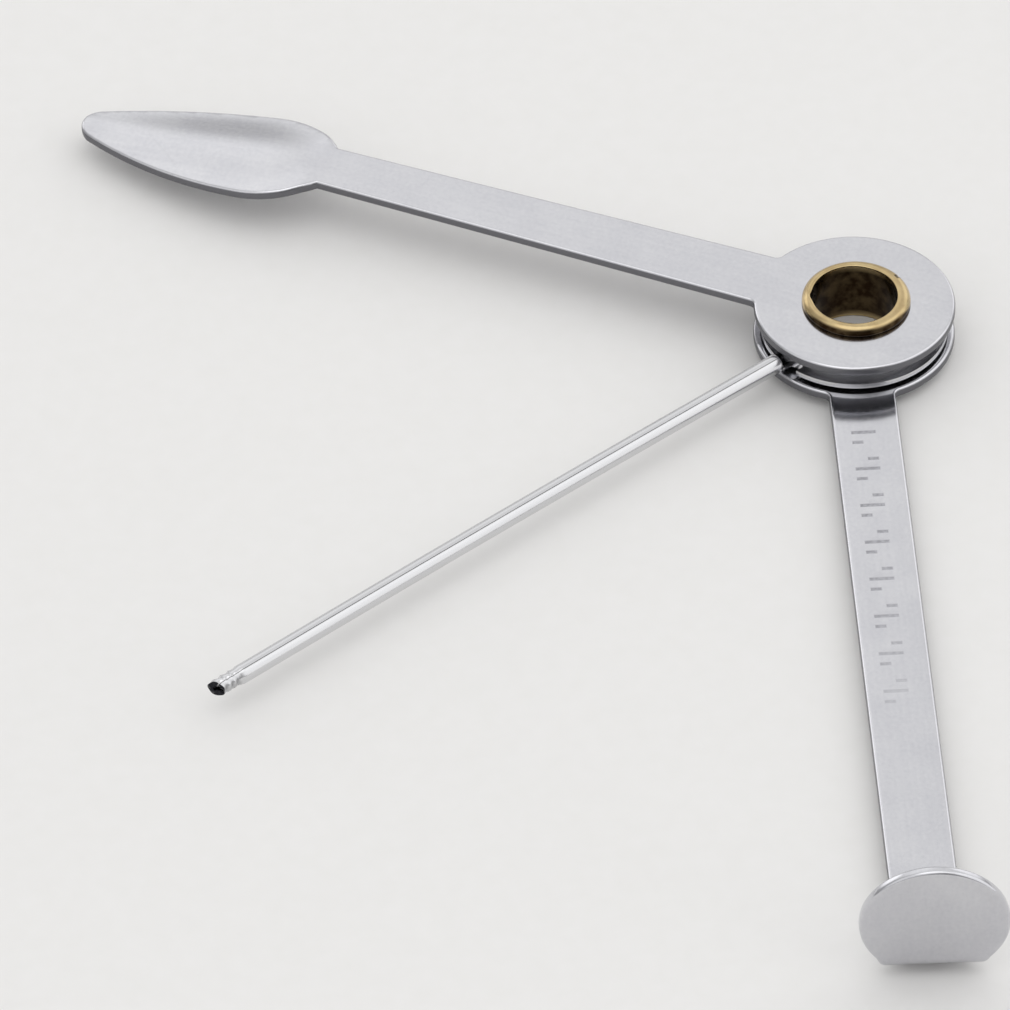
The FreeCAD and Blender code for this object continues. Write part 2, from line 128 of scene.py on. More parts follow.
def draw_hub(mesh, junction, radius):
    """Half a hub, from where its strip leaves it, round to the X axis and back along the hole."""
    around = math.pi - math.atan2(junction.co.y, junction.co.x)
    outer_end = draw_arc(mesh, junction, (0, 0), around, HUB_SIDES // 2)
    outer_end.co = (-radius, 0, 0)
    hole_start = draw(mesh, [(-hole_radius, 0)], outer_end)
    return draw_arc(mesh, hole_start, (0, 0), -math.pi, HUB_SIDES // 2)


def round_corner(mesh, vertex, size):
    """Turns one corner of a flat outline into an arc that starts that far from it."""
    bmesh.ops.bevel(
        mesh, geom=[vertex], affect="VERTICES", offset=size, offset_type="OFFSET",
        segments=6, profile=0.5, material=-1, clamp_overlap=False,
    )


def fill_and_mirror(mesh):
    """Fills half an outline, and makes the other half across the X axis."""
    bmesh.ops.remove_doubles(mesh, verts=mesh.verts[:], dist=MERGE)
    bmesh.ops.contextual_create(mesh, geom=mesh.edges[:])
    bmesh.ops.mirror(mesh, geom=whole(mesh), axis="Y", merge_dist=MERGE)


def thicken(mesh, thickness, side):
    """Turns a sheet's faces up for a side of 1, or down for -1, and thickens it behind them."""
    bmesh.ops.remove_doubles(mesh, verts=mesh.verts[:], dist=MERGE)
    bmesh.ops.recalc_face_normals(mesh, faces=mesh.faces[:])
    mesh.normal_update()
    if max(mesh.faces, key=lambda face: face.calc_area()).normal.z * side < 0:
        bmesh.ops.reverse_faces(mesh, faces=mesh.faces[:])
    bmesh.ops.solidify(mesh, geom=mesh.faces[:], thickness=thickness)


def round_edges(mesh, size, segments=4):
    """Rounds every edge that turns more than 60 degrees."""
    mesh.normal_update()
    sharp = [
        edge for edge in mesh.edges
        if edge.is_manifold and edge.calc_face_angle() > math.radians(60)
    ]
    bmesh.ops.bevel(
        mesh, geom=sharp, affect="EDGES", offset=size, offset_type="OFFSET",
        segments=segments, profile=0.5, material=-1, clamp_overlap=True,
    )


def cut_at(mesh, x):
    """Cuts the whole mesh across at one value of x."""
    bmesh.ops.bisect_plane(
        mesh, geom=whole(mesh), dist=MERGE / 10, plane_co=(x, 0, 0), plane_no=(1, 0, 0)
    )


def cut_along(mesh, faces, y):
    """Cuts a patch of faces lengthways at one value of y."""
    rims = dict.fromkeys(edge for face in faces for edge in face.edges)
    ends = dict.fromkeys(vertex for face in faces for vertex in face.verts)
    bmesh.ops.bisect_plane(
        mesh, geom=list(ends) + list(rims) + faces, dist=MERGE / 10,
        plane_co=(0, y, 0), plane_no=(0, 1, 0),
    )


def top_faces(mesh, low, high):
    """The flat top faces whose middles lie between two values of x."""
    mesh.normal_update()
    return [
        face for face in mesh.faces
        if face.normal.z > 0.99 and low < face.calc_center_median().x < high
    ]


def mark_walls(mesh, shaded_short_of):
    """Marks with 1 the walls where the blank was cut through, short of a distance along it, for painted
    shade.
    """
    shaded_dull_walls = mesh.verts.layers.float.new("shaded_dull_walls")
    mesh.normal_update()
    for vertex in mesh.verts:
        vertex[shaded_dull_walls] = abs(vertex.normal.z) < 0.5 and vertex.co.x < shaded_short_of


def add_piece(mesh, name, body, node, material):
    """Makes a finished mesh the piece that stands for a CAD node, with its flats shaded flat."""
    data = bpy.data.meshes.new(name)
    mesh.to_mesh(data)
    mesh.free()
    for polygon in data.polygons:
        polygon.use_smooth = True
    piece = bpy.data.objects.new(name, data)
    bpy.context.scene.collection.objects.link(piece)
    data.materials.append(material)
    normals = piece.modifiers.new("flat_faces_stay_flat", "WEIGHTED_NORMAL")
    normals.weight = 60
    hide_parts(node)
    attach(piece, body)


def colour(code):
    """An sRGB hex colour as linear RGBA."""
    channels = [int(code[place:place + 2], 16) / 255 for place in (1, 3, 5)]
    return *(c / 12.92 if c <= 0.04045 else ((c + 0.055) / 1.055) ** 2.4 for c in channels), 1


def add_node(tree, kind, inputs=None, **settings):
    """Adds a shader node, sets its properties, and sets or links its inputs."""
    node = tree.nodes.new(f"ShaderNode{kind}")
    for name, value in settings.items():
        setattr(node, name, value)
    for socket, value in (inputs or {}).items():
        if isinstance(value, bpy.types.NodeSocket):
            tree.links.new(value, node.inputs[socket])
        else:
            node.inputs[socket].default_value = value
    return node


def new_material(name):
    """A material, and its node tree with no nodes in it."""
    material = bpy.data.materials.new(name)
    material.use_nodes = True
    tree = material.node_tree
    tree.nodes.clear()
    return material, tree


def tumbled_stainless(bearing):
    """Austenitic stainless sheet, tumbled with ceramic chips: an even satin with faint clouds.

    The chips leave peened dimples about 0.3 mm apart and a few hairlines, over the mill's own fine lines
    along the sheet, whose direction is bearing. The attribute stamped darkens the dashes in patches:
    painted shade for their shallow recesses. The cut walls are rougher, torn and dull from the die, and
    are painted dark grey as painted shade, except at the foot's own edge.
    """
    material, tree = new_material("tumbled_stainless")
    place = add_node(tree, "TexCoord").outputs["Object"]
    rolled = add_node(
        tree, "Mapping",
        {"Vector": place, "Rotation": (0, 0, bearing), "Scale": (14 * MM, 0.3 * MM, 1 * MM)},
        vector_type="TEXTURE",
    )
    mill_lines = add_node(
        tree, "TexNoise", {"Vector": rolled.outputs["Vector"], "Scale": 1.0, "Detail": 3.0}
    )
    clouds = add_node(
        tree, "TexNoise", {"Vector": place, "Scale": 1 / (3.5 * MM), "Detail": 3.0}
    )
    dimples = add_node(
        tree, "TexNoise", {"Vector": place, "Scale": 1 / (0.3 * MM), "Detail": 2.0}
    )
    tint = clouds.outputs[0]
    for pattern, amount in ((dimples, 0.9), (mill_lines, 0.5)):
        tint = add_node(
            tree, "Math", {0: pattern.outputs[0], 1: amount, 2: tint}, operation="MULTIPLY_ADD"
        ).outputs[0]
    tint = add_node(tree, "MapRange", {"Value": tint, "From Min": 0.8, "From Max": 1.7})
    clean = add_node(
        tree, "Mix",
        {0: tint.outputs["Result"], 6: colour("#C8C8CD"), 7: colour("#D6D6D9")},
        data_type="RGBA",
    )
    # Painted shade: the stamped dashes are painted darker in patches, for the shade in their shallow
    # recesses.
    dash_shade = add_node(tree, "Attribute", attribute_name="stamped").outputs["Fac"]
    patchy = add_node(
        tree, "MapRange",
        {"Value": dimples.outputs[0], "From Min": 0.35, "From Max": 0.6, "To Min": 0.6, "To Max": 1.0},
    )
    dash_shade = add_node(tree, "Math", {0: dash_shade, 1: patchy.outputs["Result"]}, operation="MULTIPLY")
    dash_shaded = add_node(
        tree, "Mix",
        {0: dash_shade.outputs[0], 6: clean.outputs[2], 7: colour("#9E9EA3")}, data_type="RGBA",
    )
    # Painted shade: the cut walls are painted dark grey. They are also made rougher.
    shaded_dull_walls = add_node(tree, "Attribute", attribute_name="shaded_dull_walls").outputs["Fac"]
    base = add_node(
        tree, "Mix", {0: shaded_dull_walls, 6: dash_shaded.outputs[2], 7: colour("#727276")}, data_type="RGBA"
    )
    hairlines = []
    for turn, gap in ((25, 0.9), (-48, 1.3)):
        run = add_node(
            tree, "Mapping",
            {"Vector": place, "Rotation": (0, 0, math.radians(turn)), "Scale": (16 * MM, gap * MM, 1)},
            vector_type="TEXTURE",
        )
        lines = add_node(tree, "TexNoise", {"Vector": run.outputs["Vector"], "Scale": 1.0, "Detail": 4.0})
        thin = add_node(
            tree, "MapRange",
            {"Value": lines.outputs[0], "From Min": 0.66, "From Max": 0.72},
        )
        hairlines.append(thin.outputs["Result"])
    scratches = add_node(tree, "Math", {0: hairlines[0], 1: hairlines[1]}, operation="MAXIMUM")
    satin = add_node(
        tree, "MapRange",
        {"Value": dimples.outputs[0], "From Min": 0.3, "From Max": 0.7, "To Min": 0.12, "To Max": 0.17},
    )
    rough = satin.outputs["Result"]
    for dulling, amount in ((scratches.outputs[0], 0.08), (shaded_dull_walls, 0.2)):
        rough = add_node(
            tree, "Math", {0: dulling, 1: amount, 2: rough}, operation="MULTIPLY_ADD"
        ).outputs[0]
    relief = dimples.outputs[0]
    for mark, amount in ((scratches.outputs[0], -0.4), (mill_lines.outputs[0], 0.4)):
        relief = add_node(
            tree, "Math", {0: mark, 1: amount, 2: relief}, operation="MULTIPLY_ADD"
        ).outputs[0]
    bump = add_node(tree, "Bump", {"Height": relief, "Strength": 0.3, "Distance": 0.004 * MM})
    shader = add_node(
        tree, "BsdfPrincipled",
        {
            "Base Color": base.outputs[2], "Metallic": 1.0,
            "Roughness": rough, "Normal": bump.outputs["Normal"],
        },
    )
    add_node(tree, "OutputMaterial", {"Surface": shader.outputs["BSDF"]})
    return material


foot_centre = fold_start + fold_length + foot_rise
foot_neck = foot_centre - math.sqrt(foot_radius**2 - strip_half**2)

tamper = bmesh.new()
junction = tamper.verts.new((math.sqrt(hub_radius**2 - strip_half**2), strip_half, 0))
hole_end = draw_hub(tamper, junction, hub_radius)
strip_end = draw(tamper, [(foot_neck, strip_half)], junction)
foot_turn = math.asin(strip_half / foot_radius) - math.pi
foot_top = draw_arc(tamper, strip_end, (foot_centre, 0), foot_turn, FOOT_STEPS)
foot_top.co.y = 0
tamper.edges.new((foot_top, hole_end))
round_corner(tamper, junction, corner_rounding)
fill_and_mirror(tamper)
thicken(tamper, SHEET, 1)
round_edges(tamper, edge_rounding)

for step in range(FOLD_STEPS + 1):
    cut_at(tamper, fold_start + fold_length * step / FOLD_STEPS)

# Each dash is outlined on the top face, then sunk with gently sloping sides. The stamp bit less and
# less towards the foot, and the hub above has rubbed the very first dash away.
stamped = tamper.verts.layers.float.new("stamped")
mark_end = mark_start + mark_pitch * (mark_groups - 1) + 2 * mark_step
for group in range(mark_groups):
    for dash in mark_lengths:
        middle = mark_start + group * mark_pitch + dash * mark_step
        for side in (-mark_stroke / 2, mark_stroke / 2):
            cut_at(tamper, middle + side)
for dash, length in mark_lengths.items():
    for side in (-length / 2, length / 2):
        level = mark_offset + mark_shifts[dash] + side
        marked = top_faces(tamper, mark_start - mark_stroke, mark_end + mark_stroke)
        cut_along(tamper, marked, level)
for group in range(mark_groups):
    bite = 1 - mark_fading * (group / (mark_groups - 1)) ** 3
    for dash, length in mark_lengths.items():
        if (group, dash) == (0, 0):
            continue
        middle = mark_start + group * mark_pitch + dash * mark_step
        centre = mark_offset + mark_shifts[dash]
        pit = [
            face for face in top_faces(tamper, middle - mark_stroke / 2, middle + mark_stroke / 2)
            if abs(face.calc_center_median().y - centre) < length / 2
        ]
        bmesh.ops.inset_region(
            tamper, faces=pit, thickness=mark_side, depth=-mark_depth * bite,
            use_boundary=True, use_even_offset=True,
        )
        # These faces are marked for the painted shade of the dash, which fades as the stamp bit less.
        for vertex in {vertex for face in pit for vertex in face.verts}:
            vertex[stamped] = bite

mark_walls(tamper, foot_neck)

# The foot is folded up about the inside of its bend, then skewed a little.
for vertex in tamper.verts:
    along = vertex.co.x - fold_start
    if along <= 0:
        continue
    turn = min(along / fold_radius, fold_angle)
    beyond = max(along - fold_length, 0)
    reach = fold_radius - vertex.co.z
    vertex.co.x = fold_start + reach * math.sin(turn) + beyond * math.cos(turn)
    vertex.co.z = fold_radius - reach * math.cos(turn) + beyond * math.sin(turn)
    vertex.co.x -= vertex.co.y * math.tan(foot_skew) * min(along / fold_length, 1)
bmesh.ops.translate(tamper, verts=tamper.verts[:], vec=(0, 0, arm_low.z + SHEET))
add_piece(tamper, "stamped_tamper_arm", "tamper", "tamper_arm", tumbled_stainless(0))

# ---- Lower washer and spacer ring ----
# Two plain punched rings on the eyelet's barrel, which set the arms apart: a thin one under the pick's
# eye, and a thick one over it that makes room for the rolled tube.


def punched_steel():
    """Cold-rolled strip, punched and left as it came: greyer and duller than the tumbled arms."""
    material, tree = new_material("punched_steel")
    place = add_node(tree, "TexCoord").outputs["Object"]
    mottle = add_node(
        tree, "TexNoise", {"Vector": place, "Scale": 1 / (0.5 * MM), "Detail": 4.0}
    )
    rough = add_node(
        tree, "MapRange",
        {"Value": mottle.outputs[0], "From Min": 0.3, "From Max": 0.7, "To Min": 0.32, "To Max": 0.46},
    )
    base = add_node(
        tree, "Mix",
        {0: mottle.outputs[0], 6: colour("#A2A2A4"), 7: colour("#B8B8BA")},
        data_type="RGBA",
    )
    bump = add_node(tree, "Bump", {"Height": mottle.outputs[0], "Strength": 0.3, "Distance": 0.005 * MM})
    shader = add_node(
        tree, "BsdfPrincipled",
        {
            "Base Color": base.outputs[2], "Metallic": 1.0,
            "Roughness": rough.outputs["Result"], "Normal": bump.outputs["Normal"],
        },
    )
    add_node(tree, "OutputMaterial", {"Surface": shader.outputs["BSDF"]})
    return material


ring_steel = punched_steel()


def turn_profile(mesh, sides):
    """Turns a profile drawn in the XY plane about the ring's axis, with the profile's Y as height."""
    bmesh.ops.rotate(
        mesh, verts=mesh.verts[:], cent=(0, 0, 0), matrix=Matrix.Rotation(math.pi / 2, 3, "X")
    )
    bmesh.ops.spin(
        mesh, geom=mesh.verts[:] + mesh.edges[:], cent=(0, 0, 0), axis=(0, 0, 1),
        angle=2 * math.pi, steps=sides, use_merge=True,
    )
    bmesh.ops.remove_doubles(mesh, verts=mesh.verts[:], dist=MERGE)
    bmesh.ops.recalc_face_normals(mesh, faces=mesh.faces[:])


for node, body, rounding in (
    ("lower_washer", "tamper", 0.06 * MM),
    ("spacer_ring", "spoon", 0.12 * MM),
):
    low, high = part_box(node)
    ring = bmesh.new()
    inner, outer = hole_radius, high.x
    end = draw(ring, [(inner, low.z), (outer, low.z), (outer, high.z), (inner, high.z)])
    ring.verts.ensure_lookup_table()
    ring.edges.new((end, ring.verts[0]))
    for corner in ring.verts[:]:
        round_corner(ring, corner, rounding)
    turn_profile(ring, HUB_SIDES)
    add_piece(ring, f"punched_{node}", body, node, ring_steel)

# ---- Pick ----
# One 0.4 mm stainless blank: a flat eye round the eyelet, and a tongue rolled into a tube whose open
# seam runs along the top. Its lips gape at the eye, and its far end is pinched and cut off rough.

PICK_SHEET = 0.4 * MM
pick_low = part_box("pick")[0]
eye_radius = -pick_low.x
tube_radius = 1.45 / 2 * MM
tube_lift = 0.03 * MM
tongue_start = 6.2 * MM
tongue_half = 1.15 * MM
notch_gap = 0.12 * MM
trough_start = 7.05 * MM
wing_start = 7.55 * MM
wing_closing = 0.12 * MM
pick_reach = 61.9 * MM
pick_turn = math.radians(-53.1)
seam_gap = 0.05 * MM
seam_turn = math.radians(20)
bow = 0.18 * MM
pinch_length = 2.6 * MM
pinch_ramp = 0.5 * MM
pinch_all_round = 0.1
pinch_one_side = 0.14
dent_depth = 0.07
dent_length = 0.12 * MM
slant = 0.38 * MM
sawn_length = 0.9 * MM
hollow_depth = 0.3 * MM
pick_rounding = 0.09 * MM
TUBE_SIDES = 40
TUBE_STATIONS = 110


def ease(share):
    """Goes smoothly from 0 to 1."""
    share = min(max(share, 0), 1)
    return share * share * (3 - 2 * share)


def drawn_stainless():
    """Stainless strip drawn into a tube and buffed: brighter than the arms, with fine lines along it.

    A vertex attribute paints the hollow of the tube, its seam and its sawn end nearly black: painted
    shade.
    """
    material, tree = new_material("drawn_stainless")
    place = add_node(tree, "TexCoord").outputs["Object"]
    along = add_node(
        tree, "Mapping",
        {"Vector": place, "Rotation": (0, 0, pick_turn), "Scale": (6 * MM, 0.12 * MM, 0.12 * MM)},
        vector_type="TEXTURE",
    )
    lines = add_node(tree, "TexNoise", {"Vector": along.outputs["Vector"], "Scale": 1.0, "Detail": 3.0})
    rough = add_node(
        tree, "MapRange",
        {"Value": lines.outputs[0], "From Min": 0.3, "From Max": 0.7, "To Min": 0.16, "To Max": 0.24},
    )
    base = add_node(
        tree, "Mix",
        {0: lines.outputs[0], 6: colour("#D2D2D5"), 7: colour("#DCDCDD")},
        data_type="RGBA",
    )
    # Painted shade: the hollow, the seam and the sawn end are painted nearly black.
    tube_shade = add_node(tree, "Attribute", attribute_name="tube_shade").outputs["Fac"]
    base = add_node(
        tree, "Mix", {0: tube_shade, 6: base.outputs[2], 7: colour("#2C2C30")}, data_type="RGBA"
    )
    bump = add_node(tree, "Bump", {"Height": lines.outputs[0], "Strength": 0.25, "Distance": 0.004 * MM})
    shader = add_node(
        tree, "BsdfPrincipled",
        {
            "Base Color": base.outputs[2], "Metallic": 1.0,
            "Roughness": rough.outputs["Result"], "Normal": bump.outputs["Normal"],
        },
    )
    add_node(tree, "OutputMaterial", {"Surface": shader.outputs["BSDF"]})
    return material


pick = bmesh.new()
half_sides = TUBE_SIDES // 2
tongue_root = [(tongue_start, tongue_half * side / half_sides) for side in range(half_sides + 1)]
notch_side = tongue_half + notch_gap
notch_floor = tongue_start - notch_gap
last = draw(pick, tongue_root)
root_end = draw(pick, [(notch_floor, tongue_half), (notch_floor, notch_side)], last)
junction = draw(pick, [(math.sqrt(eye_radius**2 - notch_side**2), notch_side)], root_end)
hole_end = draw_hub(pick, junction, eye_radius)
pick.verts.ensure_lookup_table()
pick.edges.new((hole_end, pick.verts[0]))
fill_and_mirror(pick)

# The tongue is a grid: u runs along it, and v across it from lip to lip. Near the eye it is a narrow
# neck that curls into a trough, and where the blank widens, its square-cut wings close the tube.
grid = bmesh.ops.create_grid(pick, x_segments=TUBE_STATIONS, y_segments=TUBE_SIDES, size=1)
span = pick_reach - tongue_start
full_roll = 2 * math.pi - seam_gap / tube_radius
neck_roll = 2 * tongue_half / tube_radius
for vertex in grid["verts"]:
    u, v = (vertex.co.x + 1) / 2, vertex.co.y
    # Stations are four times closer at both ends than in the middle.
    along = span * (u - 0.75 * math.sin(2 * math.pi * u) / (2 * math.pi))
    curled = ease(along / (trough_start - tongue_start))
    closed = ease((along - wing_start + tongue_start) / wing_closing)
    roll = max(neck_roll * curled, 0.001) + (full_roll - neck_roll) * closed
    radius = (2 * tongue_half + (full_roll * tube_radius - 2 * tongue_half) * closed) / roll
    # The end is pinched flatter on one side, with small dents, and its near side is cut back.
    pinched = ease((along - span + pinch_length) / pinch_ramp)
    turn = v * roll / 2
    dents = dent_depth * math.sin(along / dent_length + 2 * turn) * math.sin(3 * turn + 1)
    dent = pinched * (pinch_all_round + pinch_one_side * max(math.sin(turn - 0.4), 0) + dents)
    y = radius * math.sin(turn) * (1 - dent)
    z = -radius * math.cos(turn) * (1 - dent)
    tilt = seam_turn * curled
    y, z = y * math.cos(tilt) + z * math.sin(tilt), z * math.cos(tilt) - y * math.sin(tilt)
    cut = slant * (1 + y / tube_radius) * ease((along - span + pinch_length) / pinch_length)
    vertex.co.x = tongue_start + along - cut
    vertex.co.y = y - bow * math.sin(math.pi * along / span)
    vertex.co.z = radius + z + tube_lift * curled
thicken(pick, PICK_SHEET, -1)
round_edges(pick, pick_rounding, 3)
# Painted shade: marks the hollow, the seam and the sawn end to be painted nearly black.
tube_shade = pick.verts.layers.float.new("tube_shade")
for vertex in pick.verts:
    along = vertex.co.x - tongue_start
    axis_y = -bow * math.sin(math.pi * max(along, 0) / span)
    off_axis = math.hypot(vertex.co.y - axis_y, vertex.co.z - tube_radius - tube_lift)
    hollow = 1 - ease((off_axis - tube_radius + hollow_depth) / (0.2 * MM))
    sawn = ease((along - span + sawn_length) / (0.1 * MM)) * (abs(vertex.normal.x) > 0.7)
    vertex[tube_shade] = max(hollow * ease((along - 0.3 * MM) / (0.3 * MM)), sawn)
bmesh.ops.translate(pick, verts=pick.verts[:], vec=(0, 0, pick_low.z))
bmesh.ops.rotate(
    pick, verts=pick.verts[:], cent=(0, 0, 0), matrix=Matrix.Rotation(pick_turn, 3, "Z")
)
add_piece(pick, "rolled_pick", "pick", "pick", drawn_stainless())

# ---- Spoon arm ----
# The top arm, from the same tumbled sheet: a hub, a strip that narrows, and a leaf-shaped bowl pressed
# hollow side down, whose crest carries the strip's top on and then falls away to a blunt tip.

spoon_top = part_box("spacer_ring")[1].z + 0.02 * MM + SHEET
spoon_turn = math.radians(-115.5)
root_half = 5.45 / 2 * MM
neck_half = 4.3 / 2 * MM
neck = 42.3 * MM
widest = 47.7 * MM
widest_half = 4.55 * MM
shoulder_radius = 7.4 * MM
blade_radius = 38 * MM
tip_start = 61.45 * MM
tip_half = 1.5 * MM
tip_radius = 1.7 * MM
spoon_reach = 62.4 * MM
rim_fall = 1.84 * MM
crest_fall = 1.74 * MM
crest_end = 0.12
rim_start = 0.05
rim_lead = 0.13
rim_bow = 1.8
BOWL_STATIONS = 48
BOWL_STRIPES = 26
TIP_STEPS = 10
PRESS_STEP = 0.01 * MM


def on_arc(x, start, end, radius):
    """Height at x of an outward-bulging arc between two points."""
    chord = end - start
    normal = Vector((-chord.y, chord.x)).normalized()
    sink = math.sqrt(radius**2 - (chord.length / 2) ** 2)
    centre = (start + end) / 2 - normal * sink
    return centre.y + math.sqrt(max(radius**2 - (x - centre.x) ** 2, 0))


def bowl_half(x):
    """Half the bowl's width, short of the tip's rounding."""
    if x < widest:
        return on_arc(x, Vector((neck, neck_half)), Vector((widest, widest_half)), shoulder_radius)
    return on_arc(x, Vector((widest, widest_half)), Vector((tip_start, tip_half)), blade_radius)


def pressed(x, y):
    """Where a point of the blank's top goes when the bowl is pressed: rounded, with a flatter rim."""
    along = (x - neck) / (spoon_reach - neck)
    leaf = max((along - rim_start) / (1 - rim_start), 0)
    edge = rim_fall * (1 - (1 - min(leaf, 1)) ** rim_bow) * ease(along / rim_lead)
    crest = crest_fall * ease((along - crest_end) / (1 - crest_end))
    off_crest = abs(y) / bowl_half(min(x, tip_start))
    return Vector((x, y, -crest - (edge - crest) * ease(off_crest)))


spoon = bmesh.new()
slope = (neck_half - root_half) / neck
spread = 1 + slope**2
junction_x = (math.sqrt(spread * hub_radius**2 - root_half**2) - slope * root_half) / spread
junction = spoon.verts.new((junction_x, root_half + slope * junction_x, 0))
hole_end = draw_hub(spoon, junction, hub_radius)
bowl_step = (tip_start - neck) / BOWL_STATIONS
stations = [neck + bowl_step * station for station in range(BOWL_STATIONS + 1)]
tip_sink = math.sqrt(tip_radius**2 - tip_half**2)
side_end = draw(spoon, [(x, bowl_half(x)) for x in stations], junction)
tip_turn = -math.asin(tip_half / tip_radius)
tip = draw_arc(spoon, side_end, (tip_start - tip_sink, 0), tip_turn, TIP_STEPS)
tip.co.y = 0
spoon.edges.new((tip, hole_end))
round_corner(spoon, junction, corner_rounding)
fill_and_mirror(spoon)
thicken(spoon, SHEET, 1)
round_edges(spoon, edge_rounding)
mark_walls(spoon, spoon_reach)

# The bowl is cut into a fine grid and pressed, which keeps the sheet's thickness square to its surface.
for x in stations:
    cut_at(spoon, x)
for stripe in range(1, BOWL_STRIPES):
    bowl = [face for face in spoon.faces if face.calc_center_median().x > neck]
    cut_along(spoon, bowl, widest_half * (2 * stripe / BOWL_STRIPES - 1))
for vertex in spoon.verts:
    x, y, depth = vertex.co
    if x > neck:
        here = pressed(x, y)
        ahead = pressed(x + PRESS_STEP, y) - here
        aside = pressed(x, y + PRESS_STEP) - here
        vertex.co = here + ahead.cross(aside).normalized() * depth
bmesh.ops.translate(spoon, verts=spoon.verts[:], vec=(0, 0, spoon_top))
bmesh.ops.rotate(
    spoon, verts=spoon.verts[:], cent=(0, 0, 0), matrix=Matrix.Rotation(spoon_turn, 3, "Z")
)
add_piece(spoon, "pressed_spoon_arm", "spoon", "spoon_arm", tumbled_stainless(spoon_turn))

# ---- Eyelet ----
# A brass tube, 0.35 mm thick, rolled outwards over the arms at both ends with a setting punch. The
# rolled lip came out slightly uneven, and cracked open at one place as it spread.

eyelet_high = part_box("brass_eyelet")[1]
lip_radius = 0.62 * MM
lip_centre = (eyelet_high.x - lip_radius, eyelet_high.z - lip_radius)
lip_end = spoon_top + 0.03 * MM
lip_shift = Vector((0, 0.12, 0)) * MM
crack_turn = math.radians(120.6)
crack_gape = 0.16 * MM
crack_start = 0.25 * MM
crack_reach = math.radians(14)
curl_rounding = 0.12 * MM
lip_tuck = 0.06 * MM
lip_rounding = 0.04 * MM
lip_wave = 0.02 * MM
kink_turn = -1.62
kink_width = 0.12
kink_depth = 0.13 * MM
brown_lowest = math.radians(12)
brown_rise = math.radians(44)
brown_fade = math.radians(24)
EYELET_SIDES = 144
CURL_STEPS = 20


def brass_with_brown_shade():
    """Yellow brass in random light and dark blotches, painted dark brown as painted shade where a vertex
    attribute says.
    """
    material, tree = new_material("brass_with_brown_shade")
    place = add_node(tree, "TexCoord").outputs["Object"]
    blotches = add_node(tree, "TexNoise", {"Vector": place, "Scale": 1 / (0.9 * MM), "Detail": 4.0})
    patchy = add_node(
        tree, "MapRange",
        {"Value": blotches.outputs[0], "From Min": 0.3, "From Max": 0.6, "To Min": 0.82, "To Max": 1.0},
    )
    # Painted shade: where the attribute is high, the brass is painted dark brown in patches.
    brown_shade = add_node(tree, "Attribute", attribute_name="brown_shade").outputs["Fac"]
    brown = add_node(tree, "Math", {0: brown_shade, 1: patchy.outputs["Result"]}, operation="MULTIPLY")
    bright = add_node(
        tree, "Mix",
        {0: blotches.outputs[0], 6: colour("#A99068"), 7: colour("#D8C496")},
        data_type="RGBA",
    )
    base = add_node(
        tree, "Mix",
        {0: brown.outputs[0], 6: bright.outputs[2], 7: colour("#2E2013")},
        data_type="RGBA",
    )
    rough = add_node(
        tree, "MapRange",
        {"Value": blotches.outputs[0], "From Min": 0.3, "From Max": 0.7, "To Min": 0.15, "To Max": 0.25},
    )
    bump = add_node(tree, "Bump", {"Height": blotches.outputs[0], "Strength": 0.3, "Distance": 0.01 * MM})
    shader = add_node(
        tree, "BsdfPrincipled",
        {
            "Base Color": base.outputs[2], "Metallic": 1.0,
            "Roughness": rough.outputs["Result"], "Normal": bump.outputs["Normal"],
        },
    )
    add_node(tree, "OutputMaterial", {"Surface": shader.outputs["BSDF"]})
    return material


eyelet = bmesh.new()
bore_rise = math.acos((bore_radius - lip_centre[0]) / lip_radius)
bore_end = lip_centre[1] + lip_radius * math.sin(bore_rise)
curl_start = draw(eyelet, [(bore_radius, bore_end * share) for share in (0, 0.4, 0.75, 0.9, 1)])
rolled = draw_arc(eyelet, curl_start, lip_centre, -bore_rise, CURL_STEPS)
round_corner(eyelet, curl_start, curl_rounding)
draw(eyelet, [(eyelet_high.x - lip_tuck, lip_end)], rolled)
turn_profile(eyelet, EYELET_SIDES)
eyelet.normal_update()
bore = min(eyelet.faces, key=lambda face: face.calc_center_median().xy.length)
if bore.normal.xy.dot(bore.calc_center_median().xy) > 0:
    bmesh.ops.reverse_faces(eyelet, faces=eyelet.faces[:])
copied = bmesh.ops.duplicate(eyelet, geom=whole(eyelet))["geom"]
bmesh.ops.scale(eyelet, verts=vertices_of(copied), vec=(1, 1, -1))
bmesh.ops.reverse_faces(
    eyelet, faces=[face for face in copied if isinstance(face, bmesh.types.BMFace)]
)

# The crack runs from just outside the upper lip's crest to its edge: one column of faces goes, and it
# gapes more and more towards the edge.
column = 2 * math.pi / EYELET_SIDES
crack_column = (math.floor(crack_turn / column) + 0.5) * column
torn = []
for face in eyelet.faces:
    middle = face.calc_center_median()
    turn = math.atan2(middle.y, middle.x) % (2 * math.pi)
    outside = middle.z > spoon_top and middle.xy.length > lip_centre[0] + crack_start
    if outside and abs(turn - crack_column) < column / 2:
        torn.append(face)
bmesh.ops.delete(eyelet, geom=torn, context="FACES")
for vertex in eyelet.verts:
    away = math.atan2(vertex.co.y, vertex.co.x) % (2 * math.pi) - crack_column
    outwards = (vertex.co.xy.length - lip_centre[0] - crack_start) / (lip_radius - crack_start)
    if vertex.co.z > spoon_top and outwards > 0:
        drawn_back = crack_gape * ease(outwards) * max(1 - abs(away) / crack_reach, 0) ** 2
        shift = Matrix.Rotation(math.copysign(drawn_back / lip_centre[0], away), 3, "Z")
        bmesh.ops.rotate(eyelet, verts=[vertex], cent=(0, 0, 0), matrix=shift)
bmesh.ops.remove_doubles(eyelet, verts=eyelet.verts[:], dist=MERGE)

